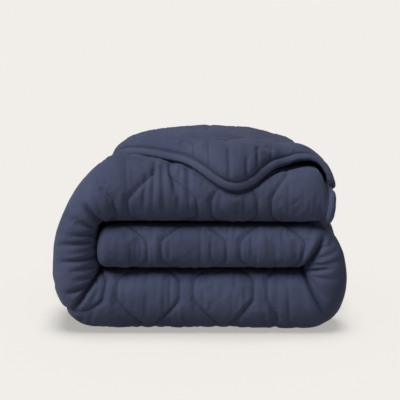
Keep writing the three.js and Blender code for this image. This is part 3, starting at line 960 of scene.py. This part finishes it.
angle = np.arange(SIDES) / SIDES * 2 * math.pi
round_out, round_up = squared(np.cos(angle)), squared(np.sin(angle))
pucker = (FINE_PUCKER * value_noise(edge_run / FINE_PITCH, 0 * edge_run, 21)
          + BROAD_PUCKER * value_noise(edge_run / BROAD_PITCH, 0 * edge_run, 22))
wide = TAPE_WIDE / 2 + pucker
high = TAPE_HIGH / 2 + PUCKER_UP * pucker
centre = middles + outs * (TAPE_WIDE / 2 - TAPE_LAP)
rings = (centre[:, None] + outs[:, None] * (wide[:, None] * round_out)[:, :, None]
         + ups[:, None] * (high[:, None] * round_up)[:, :, None])
rings[..., 2] = np.maximum(rings[..., 2], FLOOR_CLEAR)
here = np.arange(RINGS)[:, None] * SIDES + np.arange(SIDES)
onward = np.roll(here, -1, 0)
quads = np.stack([here, onward, np.roll(onward, -1, 1), np.roll(here, -1, 1)], -1)
edge_mesh = bpy.data.meshes.new("binding_tape")
edge_mesh.from_pydata((rings.reshape(-1, 3) * MM).tolist(), [], quads.reshape(-1, 4).tolist())
edge_mesh.update()
binding = bpy.data.objects.new("binding_tape", edge_mesh)
bpy.context.collection.objects.link(binding)
round_the_roll = np.tile(angle * (TAPE_WIDE + TAPE_HIGH) / 4, RINGS)
lay_flat(edge_mesh, np.stack([np.repeat(edge_run, SIDES), round_the_roll], 1) * MM)
facing_out = sum(p.normal.dot(p.center - Vector(centre[k // SIDES] * MM))
                 for k, p in enumerate(edge_mesh.polygons))
if facing_out < 0:
    edge_mesh.flip_normals()
print("binding faces:", len(edge_mesh.polygons))

# %% [markdown]
# ## The cloth's finish
# Brushed microfibre is matt, with a soft bloom at a grazing angle, a very fine weave, and patches
# where the nap lies one way or the other. All of it is worked out from the flat measures or from
# places on the piece. The stitch lines and the seam beside the binding get painted shade, for the
# shade in their grooves and for their dark needle holes. The small class below lets those sums be
# written as Python.

# %% Sums on sockets
class Thread:
    """A socket of a finish. Operators on it add Math nodes, and make() adds any other node."""

    def __init__(self, tree, socket=None):
        self.tree, self.socket = tree, socket

    def make(self, kind, sockets=None, out=0, **settings):
        node = self.tree.nodes.new("ShaderNode" + kind)
        for name, value in settings.items():
            setattr(node, name, value)
        for name, value in (sockets or {}).items():
            if isinstance(value, Thread):
                self.tree.links.new(value.socket, node.inputs[name])
            else:
                node.inputs[name].default_value = value
        return Thread(self.tree, node.outputs[out])

    def sum(self, operation, a, b=0.0):
        return self.make("Math", {0: a, 1: b}, operation=operation)

    def __add__(self, other):
        return self.sum("ADD", self, other)

    def __sub__(self, other):
        return self.sum("SUBTRACT", self, other)

    def __rsub__(self, other):
        return self.sum("SUBTRACT", other, self)

    def __mul__(self, other):
        return self.sum("MULTIPLY", self, other)

    __radd__, __rmul__ = __add__, __mul__

    def between(self, low, high):
        """0 below low, 1 above high, smooth between."""
        return self.make("MapRange", {"Value": self, "From Min": low, "From Max": high},
                         interpolation_type="SMOOTHSTEP", clamp=True)


print(Thread.__doc__)

# %% Microfibre
NAP_DARK, NAP_LIGHT = (0.0255, 0.0307, 0.0566), (0.0353, 0.042, 0.074)
NAP_SCALE, FUZZ_SCALE, NAP_SHARE = 11.0, 650.0, 0.65  # patches of nap, single fibres, their mix
NAP_FROM, NAP_TO = 0.3, 0.7  # where that mix turns from dark to light
ROUGH, ROUGH_FUZZ = 0.86, 0.1
BINDING_SHADE = 1.08  # the tape is a little lighter
THREAD_PITCH = 0.0008
CRUMPLE_SCALE = (150, 34, 1)  # fine creases, longer across the strip
WEAVE_HIGH, FUZZ_HIGH, CRUMPLE_HIGH, STITCH_DEEP = 0.05, 0.12, 0.9, 0.5
# Painted shade: near-black is mixed into the colour along the stitch lines and the seam beside the
# binding, for the shade in their grooves and for their dark needle holes.
STITCH_NEAR, STITCH_FAR = 0.2, 2.6  # mm from a stitch line, dark to plain
STITCH_PAINTED_SHADE, STITCH_SHADE = (0.006, 0.007, 0.013, 1), 0.35
BUMP = {"Strength": 0.55, "Distance": 0.0012}
BLOOM = {"Sheen Weight": 0.06, "Sheen Roughness": 0.45, "Sheen Tint": (0.62, 0.7, 1.0, 1),
         "Specular IOR Level": 0.1}


def microfibre(name, shade=1.0, stitch_groove_and_shade=True):
    mat = bpy.data.materials.new(name)
    mat.use_nodes = True
    tree = mat.node_tree
    shader = tree.nodes["Principled BSDF"]
    kit = Thread(tree)

    def blend(factor, a, b):
        return kit.make("Mix", {"Factor": factor, 6: a, 7: b}, out=2, data_type="RGBA")

    cloth_uv = kit.make("UVMap", uv_map="flat")
    place = kit.make("TexCoord", out="Object")
    patches = kit.make("TexNoise", {"Vector": place, "Scale": NAP_SCALE, "Detail": 3.0})
    fuzz = kit.make("TexNoise", {"Vector": place, "Scale": FUZZ_SCALE, "Detail": 2.0})
    nap = patches * NAP_SHARE + fuzz * (1 - NAP_SHARE)
    dark, light = ([c * shade for c in tone] + [1] for tone in (NAP_DARK, NAP_LIGHT))
    colour = blend(nap.between(NAP_FROM, NAP_TO), dark, light)
    u = kit.make("SeparateXYZ", {0: cloth_uv}, out=0)
    v = kit.make("SeparateXYZ", {0: cloth_uv}, out=1)
    turn = 2 * math.pi / THREAD_PITCH
    weave = kit.sum("SINE", u * turn) * kit.sum("SINE", v * turn)
    stretched = kit.make("Mapping", {"Vector": cloth_uv, "Scale": CRUMPLE_SCALE})
    crumple = kit.make("TexNoise", {"Vector": stretched, "Scale": 1.0, "Detail": 3.0})
    height = weave * WEAVE_HIGH + fuzz * FUZZ_HIGH + crumple * CRUMPLE_HIGH
    # Painted shade along the stitch lines and the binding's seam, partly for their dark needle
    # holes; the same mask sinks them in the bump.
    if stitch_groove_and_shade:
        seam_far = kit.make("Attribute", attribute_name="seam", out="Fac")
        line = 1 - seam_far.between(STITCH_NEAR, STITCH_FAR)
        colour = blend(line * STITCH_SHADE, colour, STITCH_PAINTED_SHADE)
        height = height - line * STITCH_DEEP
    tree.links.new(colour.socket, shader.inputs["Base Color"])
    tree.links.new((ROUGH + fuzz * ROUGH_FUZZ).socket, shader.inputs["Roughness"])
    bump = kit.make("Bump", {"Height": height, **BUMP})
    tree.links.new(bump.socket, shader.inputs["Normal"])
    for setting, value in BLOOM.items():
        shader.inputs[setting].default_value = value
    return mat


mesh.materials.append(microfibre("navy_microfibre"))
edge_mesh.materials.append(microfibre("navy_binding", shade=BINDING_SHADE, stitch_groove_and_shade=False))
PIECES = ((cloth, "quilted_body", "quilted_cover"), (binding, "bound_edge", "edge_binding"))
for piece, node, slot in PIECES:
    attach(piece, "root")
    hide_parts(node)
print("finishes:", [m.name for m in bpy.data.materials if m.name.startswith("navy")])

# %% [markdown]
# ## Floor and light
# The duvet lies on a plain pale floor. One broad soft lamp stands high, in front and to the left,
# and an even sky fills the shadows, so that the right side falls off to about half the light. A
# second lamp straight overhead lights the floor alone, which keeps the shadow close under the
# rounded sides, and the floor glows a little, so that it stays as pale as the picture's.

# %% Floor
FLOOR_SIZE = 60
FLOOR, FLOOR_GLOW = (0.2, 0.194, 0.186), (0.402, 0.391, 0.372)

bpy.ops.object.select_all(action="DESELECT")
bpy.ops.mesh.primitive_plane_add(size=FLOOR_SIZE, location=(0, 0, 0))
floor = bpy.context.object
floor.name = "floor"
pale = bpy.data.materials.new("pale_floor")
pale.use_nodes = True
for setting, value in (("Base Color", (*FLOOR, 1)), ("Roughness", 1.0), ("Specular IOR Level", 0.0),
                       ("Emission Color", (*FLOOR_GLOW, 1)), ("Emission Strength", 1.0)):
    pale.node_tree.nodes["Principled BSDF"].inputs[setting].default_value = value
floor.data.materials.append(pale)
print("floor (m):", FLOOR_SIZE)

# %% Light
SKY, KEY, OVERHEAD = 0.36, 5.5, 6.4
KEY_AZIMUTH, KEY_ELEVATION, SPREAD = (math.radians(a) for a in (-56, 50, 30))

world = bpy.data.worlds.new("studio")
bpy.context.scene.world = world
world.use_nodes = True
world.node_tree.nodes["Background"].inputs["Color"].default_value = (1, 1, 1, 1)
world.node_tree.nodes["Background"].inputs["Strength"].default_value = SKY
to_key = Vector((math.sin(KEY_AZIMUTH) * math.cos(KEY_ELEVATION),
                 -math.cos(KEY_AZIMUTH) * math.cos(KEY_ELEVATION), math.sin(KEY_ELEVATION)))


def add_sun(strength, rotation, lit, state):
    """A broad lamp that lights the floor alone, or all but the floor."""
    bpy.ops.object.light_add(type="SUN", rotation=rotation)
    sun = bpy.context.object
    sun.data.energy, sun.data.angle = strength, SPREAD
    receivers = bpy.data.collections.new(lit)
    receivers.objects.link(floor)
    receivers.collection_objects[0].light_linking.link_state = state
    sun.light_linking.receiver_collection = receivers


add_sun(KEY, (-to_key).to_track_quat("-Z", "Y").to_euler(), "all_but_floor", "EXCLUDE")
add_sun(OVERHEAD, (0, 0, 0), "floor_only", "INCLUDE")
bpy.context.scene.view_settings.view_transform = "Standard"
print("sky, key and overhead strength:", SKY, KEY, OVERHEAD)
